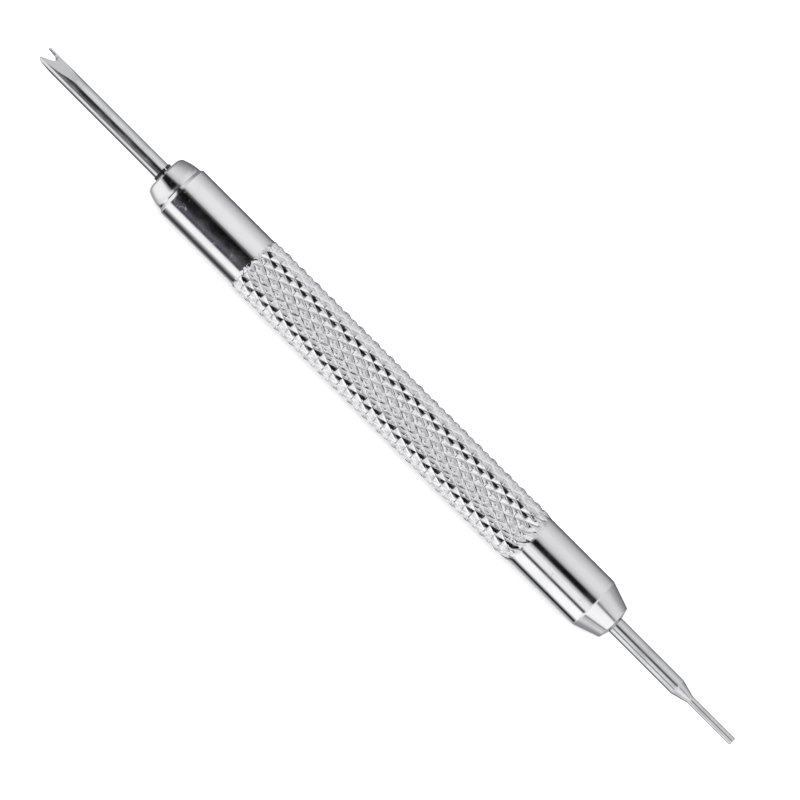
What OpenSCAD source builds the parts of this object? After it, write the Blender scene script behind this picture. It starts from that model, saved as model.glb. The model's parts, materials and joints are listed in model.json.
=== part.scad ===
// Double-ended spring bar tool for watch straps: a knurled tubular handle with a forked
// blade held in a screw-nose collet at one end and a push pin at the other.
//
// The tool lies along X. The origin is on its axis, halfway along. The fork points to -X,
// the push pin to +X, and the flats of the fork face +Z and -Z.
// Every inner piece is loaded from the fork end, the only end with a seam: the pin drops in
// until its collar meets the shoulder behind the cone, the spacer rod lies behind it, the
// backing screw locks both, and the collet, the fork and the nose close the handle.

/* [Handle] */
// Diameter of the smooth collars at the two ends of the handle
handle_d = 8; // [7.6:0.1:9]
// Diameter over the tops of the knurl
grip_d = 8.5; // [8.2:0.1:9.5]
// Length of the knurled grip
grip_len = 52.8; // [45:0.2:80]
// Sides of the grip: each stands for a row of knurl points that the tool can lie on
grip_sides = 16; // [12:2:24]
// Length of the smooth collar next to the nose
front_collar_len = 13.55; // [10:0.05:20]
// Length of the smooth collar next to the cone
rear_collar_len = 11.35; // [6:0.05:20]
// Length of the cone behind the push pin
cone_len = 4.05; // [3:0.05:6]
// Diameter of the cone where it ends
cone_end_d = 5.4; // [4.5:0.1:6.5]
// Height of the shallow dome on the end of the cone
dome_h = 0.4; // [0.2:0.05:0.8]

/* [Nose] */
// Length of the nose in front of the handle
nose_len = 2.95; // [2.5:0.05:5]
// Diameter of the nose at its mouth, before the corner is rounded
nose_front_d = 6.1; // [5.2:0.1:6.4]
// Diameter of the nose next to the handle
nose_rear_d = 7.4; // [7:0.1:7.9]
// Major diameter of the nose's thread
nose_thread_d = 6; // [5.8:0.1:6.2]
// Length of the nose's thread
nose_thread_len = 6; // [4:0.5:7]
// Gap left between the nose and the handle when the collet is tight
seam_gap = 0.1; // [0.1:0.05:0.4]

/* [Fork] */
// Diameter of the round rods that the fork and the push pin are made from
rod_d = 2.5; // [2.2:0.1:2.8]
// How far the fork stands out of the nose
fork_reach = 22.8; // [15:0.2:35]
// Length of the ground flats
grind_len = 6; // [4:0.1:8]
// Thickness of the prongs at their tips
prong_tip_t = 0.3; // [0.2:0.05:0.5]
// Height of the tip's middle above the axis, because the underside is ground deeper
prong_tip_rise = 0.3; // [0:0.05:0.4]
// Width of the notch at its mouth
notch_w = 1.92; // [1.5:0.02:2]
// Depth of the notch
notch_depth = 1.74; // [1.2:0.02:2.4]
// Radius of the round bottom of the notch
notch_r = 0.5; // [0.3:0.05:0.6]
// Sideways offset of the bottom of the notch
notch_offset = 0.36; // [0:0.02:0.4]

/* [Push pin] */
// Diameter of the push pin
pin_d = 1.2; // [0.8:0.1:1.6]
// Length of the push pin
pin_len = 8; // [5:0.5:12]
// Length of the taper between the rod and the push pin
pin_taper_len = 2.4; // [1.5:0.1:4]
// Length of plain rod between the dome and the taper
pin_rod_len = 11.7; // [8:0.1:20]

/* [Inside] */
// Outer diameter of the collet's body
collet_d = 4; // [3.8:0.1:4.1]
// How far the collet's lip stands out of the nose
collet_lip = 0.55; // [0.2:0.05:0.8]
// Width of the collet's slots
collet_slot_w = 0.35; // [0.2:0.05:0.5]
// Diameter of the long bore, which is the tapping size of the backing screw
bore_d = 3.3; // [3.2:0.05:3.4]
// Major diameter of the backing screw's thread
screw_d = 4; // [3.9:0.1:4.1]
// Length of the backing screw
screw_len = 4; // [3:0.5:6]
// Length of the collar pressed onto the push pin
pin_collar_len = 3; // [2:0.5:5]
// Radial clearance between parts that turn or slide in each other
run_gap = 0.05; // [0.02:0.01:0.08]

/* [Hidden] */

$fn = 96;
eps = 0.01;
rod_r = rod_d / 2;
handle_r = handle_d / 2;
grip_r = grip_d / 2;

// Stations along X, from the fork's tip to the pin's tip
tool_len = fork_reach + nose_len + front_collar_len + grip_len + rear_collar_len
         + cone_len + dome_h + pin_rod_len + pin_taper_len + pin_len;
x_fork_tip = -tool_len / 2;
x_nose = x_fork_tip + fork_reach;
x_handle = x_nose + nose_len;
x_grip = x_handle + front_collar_len;
x_grip_end = x_grip + grip_len;
x_cone = x_grip_end + rear_collar_len;
x_cone_end = x_cone + cone_len;
x_dome = x_cone_end + dome_h;
x_taper = x_dome + pin_rod_len;
x_pin = x_taper + pin_taper_len;
x_pin_tip = x_pin + pin_len;

// Stations inside the handle
thread_run_out = 1;
collet_flange_len = 1.5;
collet_flange_d = 4.9;
x_thread_end = x_handle + nose_thread_len + thread_run_out;
x_collet_seat = x_thread_end + 1.25;
x_screw = x_collet_seat + 6.5;
x_screw_end = x_screw + screw_len;
x_pin_seat = x_cone - 4.45;
x_pin_tail = x_pin_seat - pin_collar_len;

// Edge breaks
end_chamfer = 0.35;
small_chamfer = 0.15;

// Nose
nose_corner_r = 0.6;
nose_bulge = 0.2;
x_nose_rear = x_handle - seam_gap;
collet_lip_d = 2.84;
mouth_r = collet_lip_d / 2 + 0.08;
cone_run = 2.6;

// Points on a circle, from one angle to another
function arc(centre, r, a0, a1, steps) =
    [for (i = [0:steps]) centre + r * [cos(a0 + (a1 - a0) * i / steps), sin(a0 + (a1 - a0) * i / steps)]];

// Points between two ends of a chord that bulges to its left by the given height
function bulged(p, q, bulge, steps) =
    [for (i = [1:steps - 1])
        let (t = i / steps, n = [p[1] - q[1], q[0] - p[0]] / norm(q - p))
        p + (q - p) * t + n * bulge * 4 * t * (1 - t)];

// A turned piece, from an outline of [x, radius] points
module turned(outline) {
    rotate([0, 90, 0])
        rotate_extrude()
            polygon([for (p = outline) [p[1], p[0]]]);
}

// A round bar along X between two stations
module bar(x0, x1, d) {
    translate([x0, 0, 0])
        rotate([0, 90, 0])
            cylinder(h = x1 - x0, d = d);
}

// A bar that tapers from one diameter to another
module taper(x0, x1, d0, d1) {
    translate([x0, 0, 0])
        rotate([0, 90, 0])
            cylinder(h = x1 - x0, d1 = d0, d2 = d1);
}

// The grip as a many-sided bar, which lies on a table the way a knurled one does
module grip_bar() {
    turn = 180 / grip_sides;
    step = grip_r - handle_r;
    intersection() {
        translate([x_grip, 0, 0])
            rotate([0, 90, 0])
                linear_extrude(height = grip_len)
                    polygon([for (i = [0:grip_sides - 1])
                        grip_r * [cos(turn * (2 * i + 1)), sin(turn * (2 * i + 1))]]);
        turned([
            [x_grip, 0],
            [x_grip, handle_r],
            [x_grip + step, grip_r],
            [x_grip_end - step, grip_r],
            [x_grip_end, handle_r],
            [x_grip_end, 0]
        ]);
    }
}

// The tube of the handle, with its cone, before it is bored
module handle_outside() {
    union() {
        grip_bar();
        turned([
            [x_handle, 0],
            [x_handle, handle_r - end_chamfer],
            [x_handle + end_chamfer, handle_r],
            [x_cone, handle_r],
            [x_cone_end - small_chamfer, cone_end_d / 2 + small_chamfer / 2],
            [x_cone_end + small_chamfer / 2, cone_end_d / 2 - small_chamfer],
            [x_dome, rod_r + run_gap],
            [x_dome, 0]
        ]);
    }
}

module handle_barrel() {
    color("gainsboro")
        difference() {
            handle_outside();
            bar(x_handle - eps, x_thread_end, nose_thread_d + 2 * run_gap);
            taper(x_handle - eps, x_handle + end_chamfer, nose_thread_d + 0.6, nose_thread_d);
            bar(x_thread_end - eps, x_collet_seat, collet_flange_d + 2 * run_gap);
            bar(x_collet_seat - eps, x_screw_end, screw_d);
            bar(x_screw_end - eps, x_pin_seat, bore_d);
            bar(x_pin_seat - eps, x_dome + eps, rod_d + 0.04);
        }
}

// The nose screws into the handle and its inner cone squeezes the collet
module fork_nose() {
    front_r = nose_front_d / 2;
    corner = [x_nose + nose_corner_r, front_r - nose_corner_r];
    flank_start = [x_nose + nose_corner_r * 0.8, front_r];
    flank_end = [x_nose_rear - small_chamfer, nose_rear_d / 2];
    color("gainsboro")
        difference() {
            turned(concat(
                [[x_nose_rear + seam_gap + nose_thread_len, 0], [x_nose, 0]],
                arc(corner, nose_corner_r, 180, 102, 6),
                bulged(flank_start, flank_end, nose_bulge, 8),
                [flank_end,
                 [x_nose_rear, nose_rear_d / 2 - small_chamfer],
                 [x_nose_rear, nose_thread_d / 2],
                 [x_handle + nose_thread_len - 0.4, nose_thread_d / 2],
                 [x_handle + nose_thread_len, nose_thread_d / 2 - 0.3]]
            ));
            bar(x_nose - eps, x_handle, 2 * mouth_r);
            taper(x_nose + 0.6, x_nose + 0.6 + cone_run, 2 * mouth_r, collet_d + 0.16);
            bar(x_nose + 0.6 + cone_run - eps, x_handle + nose_thread_len + eps, collet_d + 0.16);
        }
}

// A three-jaw spring collet that grips the fork's rod
module fork_collet() {
    x_lip = x_nose - collet_lip;
    x_cone_start = x_nose + 0.75;
    x_flange = x_collet_seat - collet_flange_len;
    slot_end = x_flange - 1.5;
    color("dimgray")
        difference() {
            union() {
                bar(x_lip, x_cone_start + eps, collet_lip_d);
                taper(x_cone_start, x_cone_start + cone_run, collet_lip_d, collet_d);
                bar(x_cone_start + cone_run - eps, x_flange + eps, collet_d);
                bar(x_flange, x_collet_seat, collet_flange_d);
            }
            bar(x_lip - eps, x_collet_seat + eps, rod_d + 0.04);
            for (jaw = [0:2])
                rotate([jaw * 120, 0, 0])
                    translate([x_lip - eps, -collet_slot_w / 2, 0])
                        cube([slot_end - x_lip, collet_slot_w, collet_d]);
        }
}

// The notch's outline in plan, with its mouth at the fork's tip
module notch_outline() {
    round_x = x_fork_tip + notch_depth - notch_r;
    polygon(concat(
        [[x_fork_tip - 1, -notch_w / 2 - 0.3],
         [x_fork_tip, -notch_w / 2]],
        arc([round_x, notch_offset], notch_r, -52, 84, 16),
        [[x_fork_tip, notch_w / 2],
         [x_fork_tip - 1, notch_w / 2 + 0.3]]
    ));
}

// What the grinding wheel takes off one side: from the rod's surface down to the tip
module ground_away(z_tip, side) {
    slope = (rod_r - side * z_tip) / grind_len;
    rotate([90, 0, 0])
        linear_extrude(height = 4, center = true)
            polygon([
                [x_fork_tip - 1, side * (rod_r - slope * (grind_len + 1))],
                [x_fork_tip + grind_len, side * rod_r],
                [x_fork_tip + grind_len, side * (rod_r + 1)],
                [x_fork_tip - 1, side * (rod_r + 1)]
            ]);
}

module fork_blade() {
    color("silver")
        difference() {
            union() {
                bar(x_fork_tip, x_screw - small_chamfer, rod_d);
                taper(x_screw - small_chamfer, x_screw, rod_d, rod_d - 2 * small_chamfer);
            }
            ground_away(prong_tip_rise + prong_tip_t / 2, 1);
            ground_away(prong_tip_rise - prong_tip_t / 2, -1);
            translate([0, 0, -2])
                linear_extrude(height = 4)
                    notch_outline();
        }
}

// A slotted grub screw: it locks the spacer rod and takes the push of the fork
module backing_screw() {
    slot_w = 0.6;
    slot_depth = 0.9;
    color("dimgray")
        difference() {
            turned([
                [x_screw, 0],
                [x_screw, screw_d / 2 - 0.35],
                [x_screw + 0.3, screw_d / 2 - 0.05],
                [x_screw_end - 0.5, screw_d / 2 - 0.05],
                [x_screw_end, screw_d / 2 - 0.55],
                [x_screw_end, 0]
            ]);
            translate([x_screw - eps, -screw_d, -slot_w / 2])
                cube([slot_depth, 2 * screw_d, slot_w]);
        }
}

// The rod that carries the backing screw's load to the pin's collar
module spacer_rod() {
    r = bore_d / 2 - run_gap;
    color("darkgray")
        turned([
            [x_screw_end, 0],
            [x_screw_end, r - small_chamfer],
            [x_screw_end + small_chamfer, r],
            [x_pin_tail - small_chamfer, r],
            [x_pin_tail, r - small_chamfer],
            [x_pin_tail, 0]
        ]);
}

// The collar pressed onto the pin's tail, which seats behind the cone
module pin_collar() {
    r = bore_d / 2 - run_gap;
    color("darkgray")
        difference() {
            turned([
                [x_pin_tail, 0],
                [x_pin_tail, r - small_chamfer],
                [x_pin_tail + small_chamfer, r],
                [x_pin_seat - small_chamfer, r],
                [x_pin_seat, r - small_chamfer],
                [x_pin_seat, 0]
            ]);
            bar(x_pin_tail - eps, x_pin_seat + eps, rod_d);
        }
}

module push_pin() {
    tip_break = 0.1;
    color("silver")
        turned([
            [x_pin_tail, 0],
            [x_pin_tail, rod_r],
            [x_taper, rod_r],
            [x_pin, pin_d / 2],
            [x_pin_tip - tip_break, pin_d / 2],
            [x_pin_tip, pin_d / 2 - tip_break],
            [x_pin_tip, 0]
        ]);
}

handle_barrel();
fork_nose();
fork_collet();
fork_blade();
backing_screw();
spacer_rod();
pin_collar();
push_pin();
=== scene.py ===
import json
import math

import bmesh
import bpy
import numpy as np
from mathutils import Matrix, Vector


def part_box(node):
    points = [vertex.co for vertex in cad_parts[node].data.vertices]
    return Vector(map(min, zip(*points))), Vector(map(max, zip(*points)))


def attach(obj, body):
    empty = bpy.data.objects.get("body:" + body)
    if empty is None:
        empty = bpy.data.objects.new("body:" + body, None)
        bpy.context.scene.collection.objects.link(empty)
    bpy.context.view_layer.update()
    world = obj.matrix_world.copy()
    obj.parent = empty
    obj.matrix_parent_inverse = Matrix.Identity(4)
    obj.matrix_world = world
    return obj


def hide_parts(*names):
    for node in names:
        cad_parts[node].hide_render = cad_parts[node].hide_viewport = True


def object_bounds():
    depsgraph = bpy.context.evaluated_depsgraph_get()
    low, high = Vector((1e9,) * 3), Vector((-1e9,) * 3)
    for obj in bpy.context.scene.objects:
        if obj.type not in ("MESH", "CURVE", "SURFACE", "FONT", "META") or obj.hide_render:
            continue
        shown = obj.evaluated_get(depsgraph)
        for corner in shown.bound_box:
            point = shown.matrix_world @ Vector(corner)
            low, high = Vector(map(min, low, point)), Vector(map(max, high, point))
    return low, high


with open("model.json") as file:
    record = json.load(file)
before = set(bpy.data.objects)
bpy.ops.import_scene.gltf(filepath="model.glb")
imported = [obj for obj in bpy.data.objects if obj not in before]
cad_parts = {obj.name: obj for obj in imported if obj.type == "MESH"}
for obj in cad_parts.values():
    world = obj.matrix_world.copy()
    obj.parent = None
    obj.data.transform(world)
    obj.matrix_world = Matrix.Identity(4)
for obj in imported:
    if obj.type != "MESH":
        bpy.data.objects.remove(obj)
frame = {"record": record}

MM = 0.001
FIRST_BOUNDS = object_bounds()


def station(node, side):
    """Where a CAD node starts (side 0) or ends (side 1) along X, in mm."""
    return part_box(node)[side].x / MM


def mount_end(name, sign):
    """The end of a round mount along X, in mm."""
    mount = next(m for m in frame["record"]["mounts"] if m["name"] == name)
    return mount["pos_m"][0] / MM + sign * mount["dims"]["length_mm"] / 2


X_HANDLE = station("handle_barrel", 0)
X_DOME = station("handle_barrel", 1)
X_NOSE = station("fork_nose", 0)
X_THREAD_TIP = station("fork_nose", 1)
X_LIP = station("fork_collet", 0)
X_COLLET_SEAT = station("fork_collet", 1)
X_FORK_TIP = station("fork_blade", 0)
X_SCREW = station("backing_screw", 0)
X_SCREW_END = station("backing_screw", 1)
X_PIN_TAIL = station("push_pin", 0)
X_PIN_SEAT = station("pin_collar", 1)
X_PIN_TIP = station("push_pin", 1)
X_GRIP = mount_end("front_collar", 1)
X_GRIP_END = mount_end("rear_collar", -1)
X_CONE = mount_end("rear_collar", 1)

# Radii and pitches in mm. A bore is a little wider than what lies in it.
HANDLE_R = 4.0
GRIP_R = 4.25
ROD_R = 1.25
ROD_BORE_R = 1.27
SPACER_R = 1.6
SPACER_BORE_R = 1.65
COLLET_R = 2.0
COLLET_BORE_R = 2.08
FLANGE_R = 2.45
FLANGE_BORE_R = 2.5
NOSE_CREST_R = 2.97
NOSE_ROOT_R = 2.72
NOSE_BORE_R = 3.05
NOSE_PITCH = 0.5
SCREW_CREST_R = 1.95
SCREW_ROOT_R = 1.7
SCREW_BORE_R = 2.0
SCREW_PITCH = 0.7


# ---------------------------------------------------------------- outlines, in mm


def unit(v):
    return v / max(np.linalg.norm(v), 1e-9)


def rounded(corners, closed=False):
    """An outline whose corners, given as (x, r, corner radius), are rounded by arcs."""
    arc_step = math.radians(16)
    most = 0.48  # of a side, so that the arcs at its two ends never meet
    count = len(corners)
    points = []
    for i, corner in enumerate(corners):
        here = np.array(corner[:2], float)
        radius = corner[2] if len(corner) > 2 else 0
        at_end = not closed and i in (0, count - 1)
        if at_end or not radius:
            points.append(here)
            continue
        before = np.array(corners[i - 1][:2], float) - here
        after = np.array(corners[(i + 1) % count][:2], float) - here
        a, b = unit(before), unit(after)
        half = math.acos(max(-1.0, min(1.0, float(a @ b)))) / 2
        reach = min(radius / math.tan(half), most * np.linalg.norm(before), most * np.linalg.norm(after))
        centre = here + unit(a + b) * reach / math.cos(half)
        turn = math.pi - 2 * half
        steps = max(3, round(turn / arc_step))
        start, end = here + a * reach - centre, here + b * reach - centre
        for k in range(steps + 1):
            t = k / steps
            mix = (math.sin((1 - t) * turn) * start + math.sin(t * turn) * end) / math.sin(turn)
            points.append(centre + mix)
    return points


def supported(points, closed=False, gap=0.1):
    """The outline with extra points beside the ends of long straights, so that flats shade flat."""
    out = []
    pairs = len(points) if closed else len(points) - 1
    for i in range(pairs):
        p, q = points[i], points[(i + 1) % len(points)]
        out.append(p)
        length = np.linalg.norm(q - p)
        if length > 4 * gap:
            out.append(p + (q - p) * gap / length)
            out.append(q - (q - p) * gap / length)
    if not closed:
        out.append(points[-1])
    return [tuple(point) for point in out]


# ---------------------------------------------------------------- meshes

PLAIN_COUNT = 96
TURNED_SHARP = 38
CUT_SHARP = 30


def mesh_object(name, verts, faces, sharp_deg):
    mesh = bpy.data.meshes.new(name)
    mesh.from_pydata(verts, [], faces)
    mesh.update()
    mesh.polygons.foreach_set("use_smooth", [True] * len(mesh.polygons))
    mesh.set_sharp_from_angle(angle=math.radians(sharp_deg))
    thing = bpy.data.objects.new(name, mesh)
    bpy.context.scene.collection.objects.link(thing)
    return thing


def lathe(name, rings, count, closed=False, sharp_deg=TURNED_SHARP, crossed=(0, 0)):
    """A turned solid round X from rings of (x, radius), either of which may vary round the ring.
    Rings from crossed[0] to crossed[1] are cut into triangles along alternating diagonals."""
    angle = 2 * np.pi * np.arange(count) / count
    verts, starts = [], []
    for x, r in rings:
        starts.append(len(verts))
        x = np.broadcast_to(np.asarray(x, float), (count,)) * MM
        r = np.broadcast_to(np.asarray(r, float), (count,)) * MM
        if r.max() < 1e-9:
            verts.append((float(x[0]), 0.0, 0.0))
        else:
            verts.extend(zip(x.tolist(), (r * np.cos(angle)).tolist(), (r * np.sin(angle)).tolist()))
    faces = []
    total = len(rings)
    for i in range(total if closed else total - 1):
        a, b = starts[i], starts[(i + 1) % total]
        pole_a = float(np.max(rings[i][1])) < 1e-6
        pole_b = float(np.max(rings[(i + 1) % total][1])) < 1e-6
        for j in range(count):
            k = (j + 1) % count
            if pole_a:
                faces.append((a, b + k, b + j))
            elif pole_b:
                faces.append((a + j, a + k, b))
            elif crossed[0] <= i < crossed[1] and (i - crossed[0] + j) % 2:
                faces.append((a + j, a + k, b + j))
                faces.append((a + k, b + k, b + j))
            elif crossed[0] <= i < crossed[1]:
                faces.append((a + j, a + k, b + k))
                faces.append((a + j, b + k, b + j))
            else:
                faces.append((a + j, a + k, b + k, b + j))
    return mesh_object(name, verts, faces, sharp_deg)


def prism(name, outline, low, high, to_world, top_outline=None):
    """A closed prism from a plan outline in mm, between two heights; the top may be larger."""
    count = len(outline)
    levels = ((low, outline), (high, top_outline or outline))
    verts = [to_world(p[0], p[1], h) for h, plan in levels for p in plan]
    verts = [tuple(c * MM for c in v) for v in verts]
    faces = [tuple(range(count))[::-1], tuple(range(count, 2 * count))]
    faces += [(i, (i + 1) % count, count + (i + 1) % count, count + i) for i in range(count)]
    thing = mesh_object(name, verts, faces, CUT_SHARP)
    tidy = bmesh.new()
    tidy.from_mesh(thing.data)
    bmesh.ops.recalc_face_normals(tidy, faces=tidy.faces)
    tidy.to_mesh(thing.data)
    tidy.free()
    return thing


def turned_about_x(degrees):
    """Where a prism's plan points go when its height points up, turned about X."""
    c, s = math.cos(math.radians(degrees)), math.sin(math.radians(degrees))
    return lambda x, y, h: (x, y * c - h * s, y * s + h * c)


def settle(thing, sharp_deg):
    """Puts a thing's modifiers into its mesh."""
    graph = bpy.context.evaluated_depsgraph_get()
    done = bpy.data.meshes.new_from_object(thing.evaluated_get(graph))
    thing.modifiers.clear()
    old = thing.data
    thing.data = done
    bpy.data.meshes.remove(old)
    done.polygons.foreach_set("use_smooth", [True] * len(done.polygons))
    done.set_sharp_from_angle(angle=math.radians(sharp_deg))


def cut(thing, tools, sharp_deg=TURNED_SHARP, bevel_mm=0.02):
    """Cuts the tools out of a thing, then rounds the sharp edges a little."""
    for tool in tools:
        knife = thing.modifiers.new("cut", "BOOLEAN")
        knife.operation = "DIFFERENCE"
        knife.solver = "EXACT"
        knife.object = tool
    bevel = thing.modifiers.new("bevel", "BEVEL")
    bevel.width = bevel_mm * MM
    bevel.segments = 2
    bevel.limit_method = "ANGLE"
    bevel.angle_limit = math.radians(40)
    settle(thing, sharp_deg)
    for tool in tools:
        bpy.data.objects.remove(tool)


# ---------------------------------------------------------------- knurl and threads

KNURL_STARTS = 18  # pyramids round the grip
KNURL_PERIODS = 19  # pyramids along it
KNURL_STEPS = 14  # mesh columns, and rings, for each pyramid
KNURL_FULL = 0.508  # height of a pyramid that runs to a point, in mm
KNURL_DEPTH = 0.45  # height at which its point is flattened
KNURL_CREST = 0.26  # how widely the flattening is blended, as a share of the height
KNURL_ROUGH = 0.009  # how far the pressed metal strays from its shape, in mm
KNURL_SEED = 7
X_KNURL = X_GRIP + 0.22


def soft_min(a, b, width):
    """The lesser of two arrays, with the crease between them rounded."""
    h = np.clip(0.5 + 0.5 * (b - a) / width, 0, 1)
    return b * (1 - h) + a * h - width * h * (1 - h)


def ramp(x, start, end):
    """A smooth step from 0 at start to 1 at end."""
    t = np.clip((x - start) / (end - start), 0, 1)
    return t * t * (3 - 2 * t)


def knurl_rings():
    """Rings over the grip: two families of crossing grooves leave small pyramids.
    One family runs on a little further at the pin's end, where the rollers were lifted."""
    count = KNURL_STARTS * KNURL_STEPS
    period = (X_GRIP_END - X_KNURL) / KNURL_PERIODS
    around = np.arange(count) / KNURL_STEPS
    flat = np.full(count, KNURL_DEPTH / KNURL_FULL)
    top = soft_min(np.ones(count), flat, KNURL_CREST)
    total = KNURL_PERIODS * KNURL_STEPS + 1
    pressed = np.random.default_rng(KNURL_SEED).uniform(-1, 1, (total, count))
    pressed = (pressed + np.roll(pressed, 1, 1)) / 2
    # In mm: how soon the knurl is full, and how near its other end each part of it fades.
    full_at, fade_rising, fade_falling, fade_crest, fade_rough = 0.4, 1.5, (0.9, 2.3), 1.6, 1.0
    rings = []
    for i in range(total):
        along = i / KNURL_STEPS
        x = X_KNURL + i * period / KNURL_STEPS
        start = ramp(x, X_KNURL, X_KNURL + full_at)
        left = X_GRIP_END - x
        rising = start * ramp(left, 0, fade_rising)
        falling = start * ramp(left, *fade_falling)
        up = 1 - np.abs(2 * ((around + along) % 1) - 1)
        down = 1 - np.abs(2 * ((around - along) % 1) - 1)
        height = np.minimum(1 - (1 - up) * rising, 1 - (1 - down) * falling)
        height = soft_min(height, flat, KNURL_CREST)
        crest = HANDLE_R + (GRIP_R - HANDLE_R) * start * ramp(left, 0, fade_crest)
        uneven = KNURL_ROUGH * start * ramp(left, 0, fade_rough) * pressed[i]
        rings.append((x, crest + KNURL_FULL * (height - top) + uneven))
    return rings


def thread_rings(x0, x1, crest, root, pitch, count, steps=8):
    """Rings of a right-hand thread that fades at both ends, whichever way x runs.
    Its tooth is a triangle cut off a little at the crest and the root."""
    steep, sunk = 1.3, 0.1
    around = np.arange(count) / count
    total = max(2, round(abs(x1 - x0) / pitch * steps))
    low, high = min(x0, x1), max(x0, x1)
    rings = []
    for i in range(total + 1):
        x = x0 + (x1 - x0) * i / total
        phase = (x / pitch - around) % 1
        tooth = np.clip(steep * (1 - np.abs(2 * phase - 1)) - sunk, 0, 1)
        fade = ramp(x, low, low + pitch) * ramp(-x, -high, pitch - high)
        rings.append((x, root + (crest - root) * tooth * fade))
    return rings


# ---------------------------------------------------------------- the pieces


def make_handle():
    """The tube: collars, knurled grip, cone with its shallow dome, and the stepped bore."""
    count = KNURL_STARTS * KNURL_STEPS
    x_thread_end = X_COLLET_SEAT - 1.25
    chamfer, chamfer_drop = 0.42, 0.285
    cone_end_r, dome = 2.7, 0.4
    x_cone_end = X_DOME - dome
    front = rounded(
        [
            (X_HANDLE + 0.3, NOSE_BORE_R),
            (X_HANDLE, NOSE_BORE_R + 0.25, 0.04),
            (X_HANDLE, HANDLE_R - chamfer_drop, 0.006),
            (X_HANDLE + chamfer, HANDLE_R, 0.2),
            (X_GRIP, HANDLE_R),
        ]
    )
    tip = rounded(
        [
            (X_GRIP_END + 0.3, HANDLE_R),
            (X_CONE + 0.3, HANDLE_R, 0.9),
            (x_cone_end, cone_end_r, 0.22),
            (x_cone_end + 0.12, 2.2, 0.6),
            (X_DOME, 1.38, 0.08),
            (X_DOME - 0.02, ROD_BORE_R),
        ]
    )
    bore = rounded(
        [
            (X_DOME - 0.1, ROD_BORE_R),
            (X_PIN_SEAT, ROD_BORE_R, 0.03),
            (X_PIN_SEAT, SPACER_BORE_R, 0.05),
            (X_SCREW_END, SPACER_BORE_R, 0.03),
            (X_SCREW_END, SCREW_BORE_R, 0.05),
            (X_COLLET_SEAT, SCREW_BORE_R, 0.03),
            (X_COLLET_SEAT, FLANGE_BORE_R, 0.05),
            (x_thread_end, FLANGE_BORE_R, 0.03),
            (x_thread_end, NOSE_BORE_R, 0.05),
            (X_HANDLE + 0.5, NOSE_BORE_R),
        ]
    )
    rings = supported(front)[:-1]
    first = len(rings)
    rings += knurl_rings()
    last = len(rings) - 1
    rings += supported(tip)
    rings += supported(bore)
    knurl_sharp = 52
    return lathe("knurled_handle", rings, count, True, knurl_sharp, (first, last))


def make_nose():
    """The screw nose: a bullet-shaped head, a threaded spigot and the cone that squeezes the collet."""
    count = 144
    seam = 0.01
    x_rear = X_HANDLE - seam
    mouth_r, rear_r = 1.5, 3.718
    mouth = rounded(
        [
            (X_NOSE + 0.35, mouth_r),
            (X_NOSE, mouth_r + 0.12, 0.05),
            (X_NOSE, 2.62, 0.3),
            (X_NOSE + 0.28, 3.08, 0.3),
            (X_NOSE + 0.75, 3.27),
        ]
    )
    flank = [
        (X_NOSE + 1.0, 3.355),
        (X_NOSE + 1.3, 3.45),
        (X_NOSE + 1.6, 3.53),
        (X_NOSE + 1.9, 3.595),
        (X_NOSE + 2.2, 3.645),
        (X_NOSE + 2.5, 3.682),
    ]
    shoulder = rounded(
        [
            flank[-1],
            (x_rear, rear_r, 0.006),
            (x_rear, NOSE_ROOT_R, 0.08),
            (x_rear + 0.5, NOSE_ROOT_R),
        ]
    )
    inside = rounded(
        [
            (X_THREAD_TIP - 0.35, NOSE_ROOT_R),
            (X_THREAD_TIP, NOSE_ROOT_R - 0.17, 0.06),
            (X_THREAD_TIP, COLLET_BORE_R, 0.06),
            (X_NOSE + 3.2, COLLET_BORE_R, 0.2),
            (X_NOSE + 0.6, mouth_r, 0.1),
            (X_NOSE + 0.45, mouth_r),
        ]
    )
    rings = supported(mouth, gap=0.06)
    rings += flank
    rings += supported(shoulder[1:], gap=0.06)
    x_thread, x_thread_end = x_rear + 0.55, X_THREAD_TIP - 0.4
    rings += thread_rings(x_thread, x_thread_end, NOSE_CREST_R, NOSE_ROOT_R, NOSE_PITCH, count)
    rings += supported(inside)
    return lathe("screw_nose", rings, count, True)


def make_collet():
    """The three-jaw collet, slit from its lip, with a flange that seats in the handle."""
    x_flange = X_COLLET_SEAT - 1.5
    x_jaw, jaw = X_NOSE + 0.75, 2.6
    lip_r = 1.42
    body = rounded(
        [
            (X_LIP, ROD_BORE_R + 0.02, 0.02),
            (X_LIP, lip_r, 0.08),
            (x_jaw, lip_r, 0.2),
            (x_jaw + jaw, COLLET_R, 0.2),
            (x_flange, COLLET_R, 0.08),
            (x_flange, FLANGE_R, 0.08),
            (X_COLLET_SEAT, FLANGE_R, 0.1),
            (X_COLLET_SEAT, ROD_BORE_R, 0.06),
        ],
        True,
    )
    collet = lathe("slit_collet", supported(body, True), PLAIN_COUNT, True)
    half = 0.175
    x_round = x_flange - 1.5 - half
    outline = [(X_LIP - 1, -half), (x_round, -half)]
    outline += [(x_round + half * math.sin(a), -half * math.cos(a)) for a in np.linspace(0.3, 2.84, 7)]
    outline += [(x_round, half), (X_LIP - 1, half)]
    inside_bore, past_flange = 0.4, 3.5
    slits = [
        prism("slit", outline, inside_bore, past_flange, turned_about_x(degrees))
        for degrees in (0, 120, 240)
    ]
    cut(collet, slits)
    return collet


GRIND = 6.0  # how far the two ground flats run back from the fork's tip, in mm
THROUGH = 2  # more than the rod's radius, for tools that cut right through it


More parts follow.
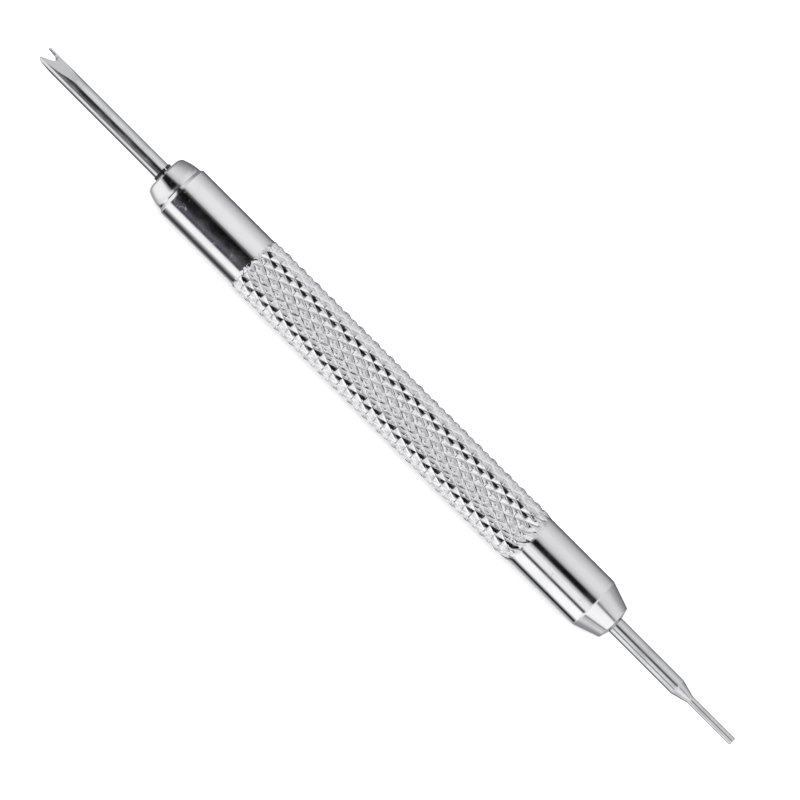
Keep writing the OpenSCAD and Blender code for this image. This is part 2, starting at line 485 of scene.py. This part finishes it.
def notch_outline(spread):
    """The fork's notch in plan: slanting sides and a round bottom a little off the middle.
    A spread above 0 makes it wider, for the filed slope of its wall."""
    round_r, offset, depth, half = 0.56, 0.35, 1.76, 0.96
    cx = X_FORK_TIP + depth - round_r
    wide_r = round_r + 0.3 * spread
    arc = [
        (cx + wide_r * math.cos(a), offset + (round_r + 0.1 * spread) * math.sin(a))
        for a in np.radians(np.linspace(-52, 88, 24))
    ]
    low = [
        (X_FORK_TIP - 1, -half - 0.5),
        (X_FORK_TIP - 0.05, -half - 0.10 - 0.02 * spread),
        (X_FORK_TIP + 0.22, -half + 0.16 - 0.05 * spread),
    ]
    high = [
        (X_FORK_TIP + 0.25, half - 0.03),
        (X_FORK_TIP + 0.14, half - 0.08),
        (X_FORK_TIP - 0.02, half - 0.2),
        (X_FORK_TIP - 1, half - 0.25),
    ]
    return low + arc + high


def tip_corner(sign, size):
    """What the rounded outer corner of a prong leaves out, in plan."""
    edge = sign * ROD_R
    arc = [
        (X_FORK_TIP + size * (1 - math.cos(a)), edge - sign * size * 0.8 * (1 - math.sin(a)))
        for a in np.radians(np.linspace(0, 90, 10))
    ]
    outside = edge + sign
    return [(X_FORK_TIP - 1, arc[0][1])] + arc + [(X_FORK_TIP + size, outside), (X_FORK_TIP - 1, outside)]


def blade_section(x, count=28):
    """The rod's section at x, cut by the two ground flats, as points (y, z) anticlockwise."""
    top_tip, bottom_tip = 0.45, 0.15
    whole = ROD_R * 0.99999
    t = min(1.0, max(0.0, (x - X_FORK_TIP) / GRIND))
    top = min(top_tip + (ROD_R - top_tip) * t, whole)
    bottom = max(bottom_tip - (ROD_R + bottom_tip) * t, -whole)
    a_top, a_bottom = math.asin(top / ROD_R), math.asin(bottom / ROD_R)
    right = np.linspace(a_bottom, a_top, count)
    points = [(ROD_R * math.cos(a), ROD_R * math.sin(a)) for a in right]
    y_top, y_bottom = points[-1][0], points[0][0]
    points += [(y_top * (1 - 2 * k / count), top) for k in range(1, count)]
    points += [(-y, z) for y, z in points[:count][::-1]]
    points += [(-y_bottom * (1 - 2 * k / count), bottom) for k in range(1, count)]
    return points


def make_blade():
    """The forked blade: a round rod ground flat on two sides, with the notch filed into its end."""
    chamfer, chamfer_length = 0.2, 0.25
    xs = [X_FORK_TIP + GRIND * t for t in np.linspace(0, 1, 41)]
    xs += [X_FORK_TIP + plain for plain in (6.3, 8, 14, 22, 32)]
    xs += [X_SCREW - 2 * chamfer_length, X_SCREW - chamfer_length]
    sections = [blade_section(x) for x in xs]
    end = 1 - chamfer / ROD_R
    sections.append([(y * end, z * end) for y, z in sections[-1]])
    xs.append(X_SCREW)
    count = len(sections[0])
    verts = [(x * MM, y * MM, z * MM) for x, ring in zip(xs, sections) for y, z in ring]
    faces = []
    for i in range(len(xs) - 1):
        a, b = i * count, (i + 1) * count
        faces += [(a + j, a + (j + 1) % count, b + (j + 1) % count, b + j) for j in range(count)]
    faces.append(tuple(range(count))[::-1])
    faces.append(tuple(range((len(xs) - 1) * count, len(xs) * count)))
    blade = mesh_object("forked_blade", verts, faces, CUT_SHARP)
    upright = turned_about_x(0)
    slope_low, slope_high = 0.08, 0.9
    tools = [
        prism("notch", notch_outline(0), -THROUGH, THROUGH, upright),
        prism("notch_slope", notch_outline(-0.04), slope_low, slope_high, upright, notch_outline(0.7)),
        prism("corner", tip_corner(-1, 0.55), -THROUGH, THROUGH, upright),
        prism("corner", tip_corner(1, 0.2), -THROUGH, THROUGH, upright),
    ]
    cut(blade, tools, CUT_SHARP, 0.025)
    return blade


def make_pin():
    """The push pin: a round rod that tapers to the slim pin."""
    pin_r, pin, taper = 0.6, 8, 2.4
    x_pin = X_PIN_TIP - pin
    x_taper = x_pin - taper
    outline = rounded(
        [
            (X_PIN_TAIL, 0),
            (X_PIN_TAIL, ROD_R, 0.12),
            (x_taper, ROD_R, 1.2),
            (x_pin, pin_r, 1.6),
            (X_PIN_TIP, pin_r, 0.12),
            (X_PIN_TIP, 0),
        ]
    )
    return lathe("push_pin_rod", supported(outline), PLAIN_COUNT)


def make_screw():
    """The slotted grub screw that backs the fork and locks the spacer rod."""
    head_r, tail_r = 1.62, 1.55
    head = rounded([(X_SCREW, 0), (X_SCREW, head_r, 0.05), (X_SCREW + 0.12, SCREW_ROOT_R)])
    tail = rounded([(X_SCREW_END - 0.1, SCREW_ROOT_R), (X_SCREW_END, tail_r, 0.05), (X_SCREW_END, 0)])
    rings = supported(head)
    x_thread, x_thread_end = X_SCREW + 0.15, X_SCREW_END - 0.15
    radii = SCREW_CREST_R, SCREW_ROOT_R
    rings += thread_rings(x_thread, x_thread_end, *radii, SCREW_PITCH, PLAIN_COUNT, 10)
    rings += supported(tail)
    screw = lathe("slotted_screw", rings, PLAIN_COUNT)
    half, bottom = 0.3, X_SCREW + 0.9
    slot = [(X_SCREW - 1, -half), (bottom, -half), (bottom, half), (X_SCREW - 1, half)]
    cut(screw, [prism("slot", slot, -3, 3, lambda x, y, h: (x, h, y))])
    return screw


def make_spacer():
    """The long spacer rod inside the grip."""
    chamfer = 0.15
    outline = rounded(
        [
            (X_SCREW_END, 0),
            (X_SCREW_END, SPACER_R - chamfer, 0.03),
            (X_SCREW_END + chamfer, SPACER_R, 0.05),
            (X_PIN_TAIL - chamfer, SPACER_R, 0.05),
            (X_PIN_TAIL, SPACER_R - chamfer, 0.03),
            (X_PIN_TAIL, 0),
        ]
    )
    return lathe("spacer", supported(outline), PLAIN_COUNT)


def make_collar():
    """The collar pressed onto the pin's tail."""
    outline = rounded(
        [
            (X_PIN_TAIL, ROD_R, 0.03),
            (X_PIN_TAIL, SPACER_R, 0.12),
            (X_PIN_SEAT, SPACER_R, 0.12),
            (X_PIN_SEAT, ROD_R, 0.03),
        ],
        True,
    )
    return lathe("tail_collar", supported(outline, True), PLAIN_COUNT, True)


# ---------------------------------------------------------------- materials


class Nodes:
    """A short way to write a node tree."""

    def __init__(self, tree):
        self.tree = tree
        self.tree.nodes.clear()

    def add(self, kind, inputs=None, **settings):
        made = self.tree.nodes.new(kind)
        for key, value in settings.items():
            setattr(made, key, value)
        for key, value in (inputs or {}).items():
            if isinstance(value, bpy.types.NodeSocket):
                self.tree.links.new(value, made.inputs[key])
            else:
                made.inputs[key].default_value = value
        return made

    def math(self, operation, a, b=0.0, c=0.0):
        return self.add("ShaderNodeMath", {0: a, 1: b, 2: c}, operation=operation).outputs[0]

    def span(self, value, low, high, to_low=0.0, to_high=1.0):
        """A smooth step from to_low to to_high as the value goes from low to high."""
        inputs = {"Value": value, "From Min": low, "From Max": high, "To Min": to_low, "To Max": to_high}
        return self.add("ShaderNodeMapRange", inputs, interpolation_type="SMOOTHSTEP").outputs["Result"]

    def dot(self, a, b):
        return self.add("ShaderNodeVectorMath", {0: a, 1: b}, operation="DOT_PRODUCT").outputs["Value"]

    def noise(self, vector, scale, detail=3.0, rough=0.5):
        inputs = {"Vector": vector, "Scale": scale, "Detail": detail, "Roughness": rough}
        return self.add("ShaderNodeTexNoise", inputs).outputs["Fac"]

    def stretch(self, vector, scale, turn=(0.0, 0.0, 0.0)):
        inputs = {"Vector": vector, "Scale": scale, "Rotation": turn}
        return self.add("ShaderNodeMapping", inputs).outputs["Vector"]

    def blend(self, factor, a, b):
        """Colour a where the factor is 0, b where it is 1."""
        made = self.add("ShaderNodeMix", {"Factor": factor}, data_type="RGBA")
        colour_a, colour_b, colour_out = 6, 7, 2
        for index, value in ((colour_a, a), (colour_b, b)):
            if isinstance(value, bpy.types.NodeSocket):
                self.tree.links.new(value, made.inputs[index])
            else:
                made.inputs[index].default_value = (*value, 1.0)
        return made.outputs[colour_out]

    def bump(self, height, strength, distance_mm, below=None):
        inputs = {"Height": height, "Strength": strength, "Distance": distance_mm * MM}
        if below is not None:
            inputs["Normal"] = below
        return self.add("ShaderNodeBump", inputs).outputs["Normal"]


def new_material(name):
    material = bpy.data.materials.new(name)
    material.use_nodes = True
    return material, Nodes(material.node_tree)


def finish_metal(n, colour, roughness, normal, edge):
    """The shader that ends every metal's tree."""
    inputs = {
        "Base Color": colour,
        "Metallic": 1.0,
        "Roughness": roughness,
        "Normal": normal,
        "Specular Tint": (*edge, 1.0),
    }
    shader = n.add("ShaderNodeBsdfPrincipled", inputs)
    n.add("ShaderNodeOutputMaterial", {"Surface": shader.outputs["BSDF"]})


def scratches(n, place, turn, scale):
    """A mask of thin, broken, nearly straight scratches."""
    lines = n.noise(n.stretch(place, scale, turn), 1.0, 2.0, 0.4)
    thin = n.span(n.math("ABSOLUTE", n.math("SUBTRACT", lines, 0.5)), 0.0, 0.012, 1.0, 0.0)
    where = n.span(n.noise(place, 420.0, 2.0), 0.52, 0.62)
    return n.math("MULTIPLY", thin, where)


def knurl_masks(n, place):
    """Masks of the grip: the bottoms of its grooves (rougher, and given painted light), its points, and
    blotches of pressed metal.
    """
    parts = n.add("ShaderNodeSeparateXYZ", {"Vector": place}).outputs
    off_axis = n.add("ShaderNodeCombineXYZ", {"Y": parts["Y"], "Z": parts["Z"]}).outputs["Vector"]
    radius = n.add("ShaderNodeVectorMath", {0: off_axis}, operation="LENGTH").outputs["Value"]
    middle = (X_GRIP + X_GRIP_END) / 2 * MM
    half = (X_GRIP_END - X_GRIP) / 2 * MM
    from_middle = n.math("ABSOLUTE", n.math("SUBTRACT", parts["X"], middle))
    in_grip = n.span(from_middle, half - 0.4 * MM, half, 1.0, 0.0)
    groove = n.math("MULTIPLY", in_grip, n.span(radius, 3.83 * MM, 4.0 * MM, 1.0, 0.0))
    crest = n.math("MULTIPLY", in_grip, n.span(radius, 4.17 * MM, GRIP_R * MM))
    blotches = n.span(n.noise(place, 3000.0, 3.0, 0.6), 0.42, 0.6)
    return groove, crest, n.math("MULTIPLY", in_grip, blotches)


def chrome():
    """Bright plate over turned and knurled steel: turning marks, smudges, scratches, a mottled knurl, and
    painted light in the bottoms of the knurl's grooves that lifts the shade falling there.
    """
    material, n = new_material("chrome")
    place = n.add("ShaderNodeTexCoord").outputs["Object"]
    groove, crest, pressed = knurl_masks(n, place)
    grime = n.math("MULTIPLY", groove, n.span(n.noise(place, 900.0, 4.0, 0.6), 0.35, 0.7))
    smudge = n.span(n.noise(place, 210.0, 4.0, 0.62), 0.4, 0.75)
    rings = n.noise(n.stretch(place, (9000.0, 160.0, 160.0)), 1.0, 3.0, 0.6)
    scratch = scratches(n, place, (0.3, 0.5, 0.2), (700.0, 60.0, 700.0))
    colour = n.blend(smudge, (0.787, 0.785, 0.797), (0.748, 0.746, 0.758))
    colour = n.blend(n.math("MULTIPLY", crest, 0.45), colour, (0.9, 0.9, 0.915))
    colour = n.blend(n.math("MULTIPLY", pressed, 0.7), colour, (0.54, 0.535, 0.55))
    # Painted light: the bottoms of the knurl's grooves are made nearly white, to lift the shade that
    # falls in them.
    colour = n.blend(n.math("MULTIPLY", groove, 0.9), colour, (0.98, 0.98, 0.99))
    rough = n.math("MULTIPLY_ADD", smudge, 0.07, 0.055)
    rough = n.math("MULTIPLY_ADD", grime, 0.1, rough)
    rough = n.math("MULTIPLY_ADD", scratch, 0.15, rough)
    rough = n.math("MULTIPLY_ADD", rings, 0.03, rough)
    normal = n.bump(rings, 0.07, 0.004)
    normal = n.bump(n.noise(place, 620.0, 2.0), 0.08, 0.02, normal)
    normal = n.bump(scratch, 0.25, -0.004, normal)
    normal = n.bump(pressed, 0.15, 0.01, normal)
    finish_metal(n, colour, rough, normal, (0.62, 0.62, 0.66))
    return material


def ground_steel():
    """Hardened polished steel, with the grinding wheel's lines running along the blade."""
    material, n = new_material("ground_steel")
    place = n.add("ShaderNodeTexCoord").outputs["Object"]
    along = n.noise(n.stretch(place, (260.0, 9000.0, 5200.0)), 1.0, 3.0, 0.65)
    around = n.noise(n.stretch(place, (5200.0, 240.0, 240.0)), 1.0, 3.0, 0.6)
    smudge = n.span(n.noise(place, 380.0, 4.0, 0.6), 0.38, 0.75)
    scratch = scratches(n, place, (0.1, 0.2, 0.9), (300.0, 1500.0, 1500.0))
    colour = n.blend(smudge, (0.67, 0.67, 0.685), (0.59, 0.59, 0.605))
    colour = n.blend(n.math("MULTIPLY", scratch, 0.4), colour, (0.42, 0.42, 0.44))
    rough = n.math("MULTIPLY_ADD", along, 0.12, 0.07)
    rough = n.math("MULTIPLY_ADD", smudge, 0.08, rough)
    normal = n.bump(along, 0.16, 0.006)
    normal = n.bump(around, 0.06, 0.004, normal)
    normal = n.bump(scratch, 0.3, -0.004, normal)
    finish_metal(n, colour, rough, normal, (0.6, 0.6, 0.64))
    return material


def painted_shade_steel():
    """Dark steel for the collet, painted dark to stand in for the shade in the nose's mouth, lighter in
    random patches.
    """
    material, n = new_material("painted_shade_steel")
    place = n.add("ShaderNodeTexCoord").outputs["Object"]
    mottle = n.noise(place, 1600.0, 5.0, 0.6)
    worn = n.span(n.noise(place, 520.0, 4.0, 0.65), 0.55, 0.72)
    rings = n.noise(n.stretch(place, (7000.0, 200.0, 200.0)), 1.0, 3.0, 0.6)
    colour = n.blend(worn, (0.06, 0.06, 0.065), (0.22, 0.22, 0.23))
    rough = n.math("MULTIPLY_ADD", mottle, 0.25, 0.22)
    normal = n.bump(rings, 0.2, 0.006)
    normal = n.bump(mottle, 0.15, 0.008, normal)
    finish_metal(n, colour, rough, normal, (0.6, 0.6, 0.62))
    return material


def oiled_steel():
    """Plain turned steel with a film of oil that lies in patches."""
    material, n = new_material("oiled_steel")
    place = n.add("ShaderNodeTexCoord").outputs["Object"]
    rings = n.noise(n.stretch(place, (6200.0, 180.0, 180.0)), 1.0, 4.0, 0.6)
    film = n.span(n.noise(place, 300.0, 5.0, 0.6), 0.42, 0.66)
    colour = n.blend(film, (0.52, 0.52, 0.53), (0.36, 0.345, 0.32))
    rough = n.math("MULTIPLY_ADD", rings, 0.16, 0.2)
    rough = n.math("MULTIPLY_ADD", film, -0.1, rough)
    normal = n.bump(rings, 0.3, 0.008)
    finish_metal(n, colour, rough, normal, (0.7, 0.7, 0.7))
    return material


def pale_floor():
    """A plain pale matt sheet."""
    material, n = new_material("pale_floor")
    place = n.add("ShaderNodeTexCoord").outputs["Object"]
    grain = n.noise(place, 240.0, 4.0, 0.6)
    colour = n.blend(grain, (0.86, 0.86, 0.865), (0.9, 0.9, 0.9))
    inputs = {
        "Base Color": colour,
        "Roughness": n.math("MULTIPLY_ADD", grain, 0.1, 0.85),
        "Specular IOR Level": 0.1,
        "Normal": n.bump(grain, 0.02, 0.05),
    }
    shader = n.add("ShaderNodeBsdfPrincipled", inputs)
    n.add("ShaderNodeOutputMaterial", {"Surface": shader.outputs["BSDF"]})
    return material


# ---------------------------------------------------------------- the studio

VIEW_ELEVATION = math.radians(60)
TOWARDS_CAMERA = Vector((0, -math.cos(VIEW_ELEVATION), math.sin(VIEW_ELEVATION)))
ABOVE = Vector((0, math.sin(VIEW_ELEVATION), math.cos(VIEW_ELEVATION)))
PICTURE_WIDTH = 0.1068
LENS, SENSOR = 200.0, 36.0


def make_camera():
    """A long lens, square to the tool, rolled so that the tool runs from upper left to lower right."""
    centre = (FIRST_BOUNDS[0] + FIRST_BOUNDS[1]) / 2
    right = (Vector((1, 0, 0)) + ABOVE).normalized()
    up = (ABOVE - Vector((1, 0, 0))).normalized()
    data = bpy.data.cameras.new("camera")
    data.sensor_width = SENSOR
    data.lens = LENS
    # In the photo the tool lies a little off the picture's middle.
    data.shift_x = 0.0149
    data.shift_y = -0.0029
    data.clip_start = 0.01
    data.clip_end = 20.0
    camera = bpy.data.objects.new("camera", data)
    bpy.context.scene.collection.objects.link(camera)
    axes = Matrix((right, up, TOWARDS_CAMERA)).transposed().to_4x4()
    distance = PICTURE_WIDTH * LENS / SENSOR
    camera.matrix_world = Matrix.Translation(centre + TOWARDS_CAMERA * distance) @ axes
    bpy.context.scene.camera = camera


def make_floor():
    """A wide sheet under the grip. It isn't mirrored in the metal, where it would hide the room."""
    reach = 5.0
    level = -GRIP_R * MM
    corners = [(x * reach, y * reach, level) for x, y in ((-1, -1), (1, -1), (1, 1), (-1, 1))]
    floor = mesh_object("floor", corners, [(0, 1, 2, 3)], CUT_SHARP)
    floor.data.materials.append(pale_floor())
    floor.visible_glossy = False


def ramp_node(n, value, stops):
    """A grey ramp over an angle in degrees, from a list of (angle, brightness)."""
    position = n.math("MULTIPLY_ADD", value, 0.5 / math.pi, 0.5)
    made = n.add("ShaderNodeValToRGB", {"Fac": position})
    elements = made.color_ramp.elements
    while len(elements) > 1:
        elements.remove(elements[-1])
    for i, (degrees, grey) in enumerate(stops):
        place = degrees / 360 + 0.5
        if i == 0:
            elements[0].position = place
            stop = elements[0]
        else:
            stop = elements.new(place)
        tint = grey if isinstance(grey, tuple) else (grey, grey, grey * 1.006)
        stop.color = (*tint, 1.0)
    return made.outputs["Color"]


PURPLE = (0.108, 0.103, 0.123)
HAZE = (0.088, 0.083, 0.103)

# What stands round the tool, seen along its axis: (angle from the camera, brightness). The
# lists run from directions that lean far towards the fork to those that lean far towards the pin.
# FORK_SIDE is what the fork's half of the plain cylinders mirrors, and PIN_SIDE the pin's half.
FAR_SIDE = [
    (-180, 0.6),
    (-150, 0.5),
    (-125, 0.8),
    (-100, 1.1),
    (-45, 1.0),
    (-34, 0.3),
    (-24, 0.02),
    (6, 0.02),
    (20, 0.5),
    (35, 0.84),
    (60, 0.84),
    (85, 0.68),
    (107, 0.5),
    (140, 0.3),
    (160, 0.3),
    (180, 0.5),
]
NOSE_SIDE = [
    (-180, 0.7),
    (-150, 0.55),
    (-132, 0.6),
    (-118, 1.0),
    (-100, 1.1),
    (-56, 1.1),
    (-42, 0.98),
    (-31, 0.4),
    (-23, 0.01),
    (3.5, 0.01),
    (10, 0.2),
    (17, 0.66),
    (38, 0.86),
    (62, 0.8),
    (82, 0.62),
    (100, 0.45),
    (125, 0.3),
    (150, 0.3),
    (180, 0.6),
]
SMEAR = [
    (-180, 0.8),
    (-140, 0.6),
    (-118, 0.85),
    (-100, 0.98),
    (-38, 1.05),
    (-27, 0.7),
    (-17, 0.15),
    (9, 0.13),
    (18, 0.6),
    (30, 0.85),
    (60, 0.95),
    (85, 0.75),
    (105, 0.45),
    (125, 0.3),
    (150, 0.25),
    (180, 0.7),
]
FORK_SIDE = [
    (-180, 0.75),
    (-158, 0.72),
    (-147, 0.45),
    (-136, 0.09),
    (-124, 0.05),
    (-116, 0.12),
    (-104, 0.48),
    (-94, 1.1),
    (-84, 1.2),
    (-68, 1.12),
    (-64.5, 0.8),
    (-60, HAZE),
    (-54, HAZE),
    (-45, PURPLE),
    (-40, (0.09, 0.086, 0.102)),
    (-32, (0.043, 0.04, 0.05)),
    (-25, 0.014),
    (-14, 0.004),
    (4, 0.006),
    (13, 0.15),
    (20, 0.74),
    (30, 0.93),
    (45, 1.0),
    (66, 0.99),
    (88, 0.8),
    (110, 0.62),
    (130, 0.43),
    (146, 0.2),
    (164, 0.2),
    (180, 0.75),
]
PIN_SIDE = [
    (-180, 0.83),
    (-146, 0.8),
    (-137, 0.4),
    (-128, 0.015),
    (-118, 0.02),
    (-109, 0.7),
    (-100, 1.2),
    (-76, 1.25),
    (-61, 1.15),
    (-55, 0.12),
    (-49, 0.05),
    (-43, 0.9),
    (-37, 1.08),
    (-20, 1.05),
    (-8, 0.5),
    (-3, 0.05),
    (2, 0.003),
    (15, 0.003),
    (23, 0.5),
    (31, 0.72),
    (46, 0.88),
    (66, 0.91),
    (88, 0.77),
    (110, 0.62),
    (130, 0.42),
    (146, 0.22),
    (164, 0.22),
    (180, 0.8),
]
CONE_SIDE = [
    (-180, 0.9),
    (-150, 0.5),
    (-128, 0.22),
    (-116, 0.36),
    (-98, 0.5),
    (-80, 0.64),
    (-74, 0.62),
    (-69, 0.3),
    (-65, 0.3),
    (-60, 1.1),
    (-40, 1.2),
    (0, 1.15),
    (8, 0.8),
    (13, 0.22),
    (18, 0.25),
    (25, 0.7),
    (40, 0.85),
    (66, 0.86),
    (88, 0.76),
    (110, 0.62),
    (130, 0.45),
    (150, 0.28),
    (180, 0.8),
]
BRIDGE = [
    (-180, 0.8),
    (-140, 0.5),
    (-122, 0.45),
    (-100, 1.15),
    (-60, 1.1),
    (-54, 0.6),
    (-48, 0.6),
    (-42, 1.1),
    (-8, 1.0),
    (2, 0.3),
    (12, 0.25),
    (20, 0.75),
    (28, 0.88),
    (60, 0.88),
    (90, 0.72),
    (125, 0.45),
    (150, 0.25),
    (180, 0.7),
]
BRIGHT_SIDE = [
    (-180, 0.8),
    (-140, 0.35),
    (-118, 0.45),
    (-100, 0.8),
    (-60, 1.05),
    (10, 1.05),
    (24, 0.9),
    (58, 0.86),
    (82, 0.68),
    (105, 0.48),
    (125, 0.36),
    (150, 0.25),
    (180, 0.7),
]


def make_world():
    """A soft room: a dark gap over the camera's side, a broad pale ceiling behind the tool."""
    world = bpy.data.worlds.new("studio")
    world.use_nodes = True
    bpy.context.scene.world = world
    n = Nodes(world.node_tree)
    ray = n.add("ShaderNodeTexCoord").outputs["Generated"]
    towards = n.dot(ray, TOWARDS_CAMERA)
    above = n.dot(ray, ABOVE)
    side = n.add("ShaderNodeSeparateXYZ", {"Vector": ray}).outputs["X"]
    turn = n.math("ARCTAN2", above, towards)
    colour = ramp_node(n, turn, FAR_SIDE)
    # Where each list takes over from the one before: by the direction's part along X, from and to.
    changes = [
        (-0.82, -0.72, NOSE_SIDE),
        (-0.31, -0.25, SMEAR),
        (-0.155, -0.125, FORK_SIDE),
        (-0.02, 0.035, PIN_SIDE),
        (0.066, 0.14, BRIDGE),
        (0.2, 0.28, BRIGHT_SIDE),
        (0.5, 0.56, CONE_SIDE),
    ]
    for low, high, stops in changes:
        colour = n.blend(n.span(side, low, high), colour, ramp_node(n, turn, stops))
    background = n.add("ShaderNodeBackground", {"Color": colour, "Strength": 1.0})
    n.add("ShaderNodeOutputWorld", {"Surface": background.outputs["Background"]})


def make_lights():
    """A wide overhead wash that lights the floor softly and isn't mirrored in the chrome."""
    data = bpy.data.lights.new("wash", "SUN")
    data.energy = 5.5
    data.angle = math.radians(110)
    wash = bpy.data.objects.new("wash", data)
    wash.rotation_euler = (math.radians(14), 0, 0)
    wash.visible_glossy = False
    bpy.context.scene.collection.objects.link(wash)


# ---------------------------------------------------------------- putting it together


def dress(piece, body, node, material):
    """Gives a piece its material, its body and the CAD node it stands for."""
    piece.data.materials.clear()
    piece.data.materials.append(material)
    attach(piece, body)
    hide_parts(node)


bright, steel, shade_dark_steel, plain = chrome(), ground_steel(), painted_shade_steel(), oiled_steel()
dress(make_handle(), "handle", "handle_barrel", bright)
dress(make_nose(), "nose", "fork_nose", bright)
# The collet's dark steel is painted shade: its dark lip stands in for the shade in the nose's mouth.
dress(make_collet(), "collet", "fork_collet", shade_dark_steel)
dress(make_blade(), "fork", "fork_blade", steel)
dress(make_pin(), "handle", "push_pin", steel)
dress(make_screw(), "handle", "backing_screw", plain)
dress(make_spacer(), "handle", "spacer_rod", plain)
dress(make_collar(), "handle", "pin_collar", plain)

make_floor()
make_world()
make_lights()
make_camera()

bpy.context.scene.view_settings.view_transform = "Standard"
bpy.context.scene.view_settings.look = "None"
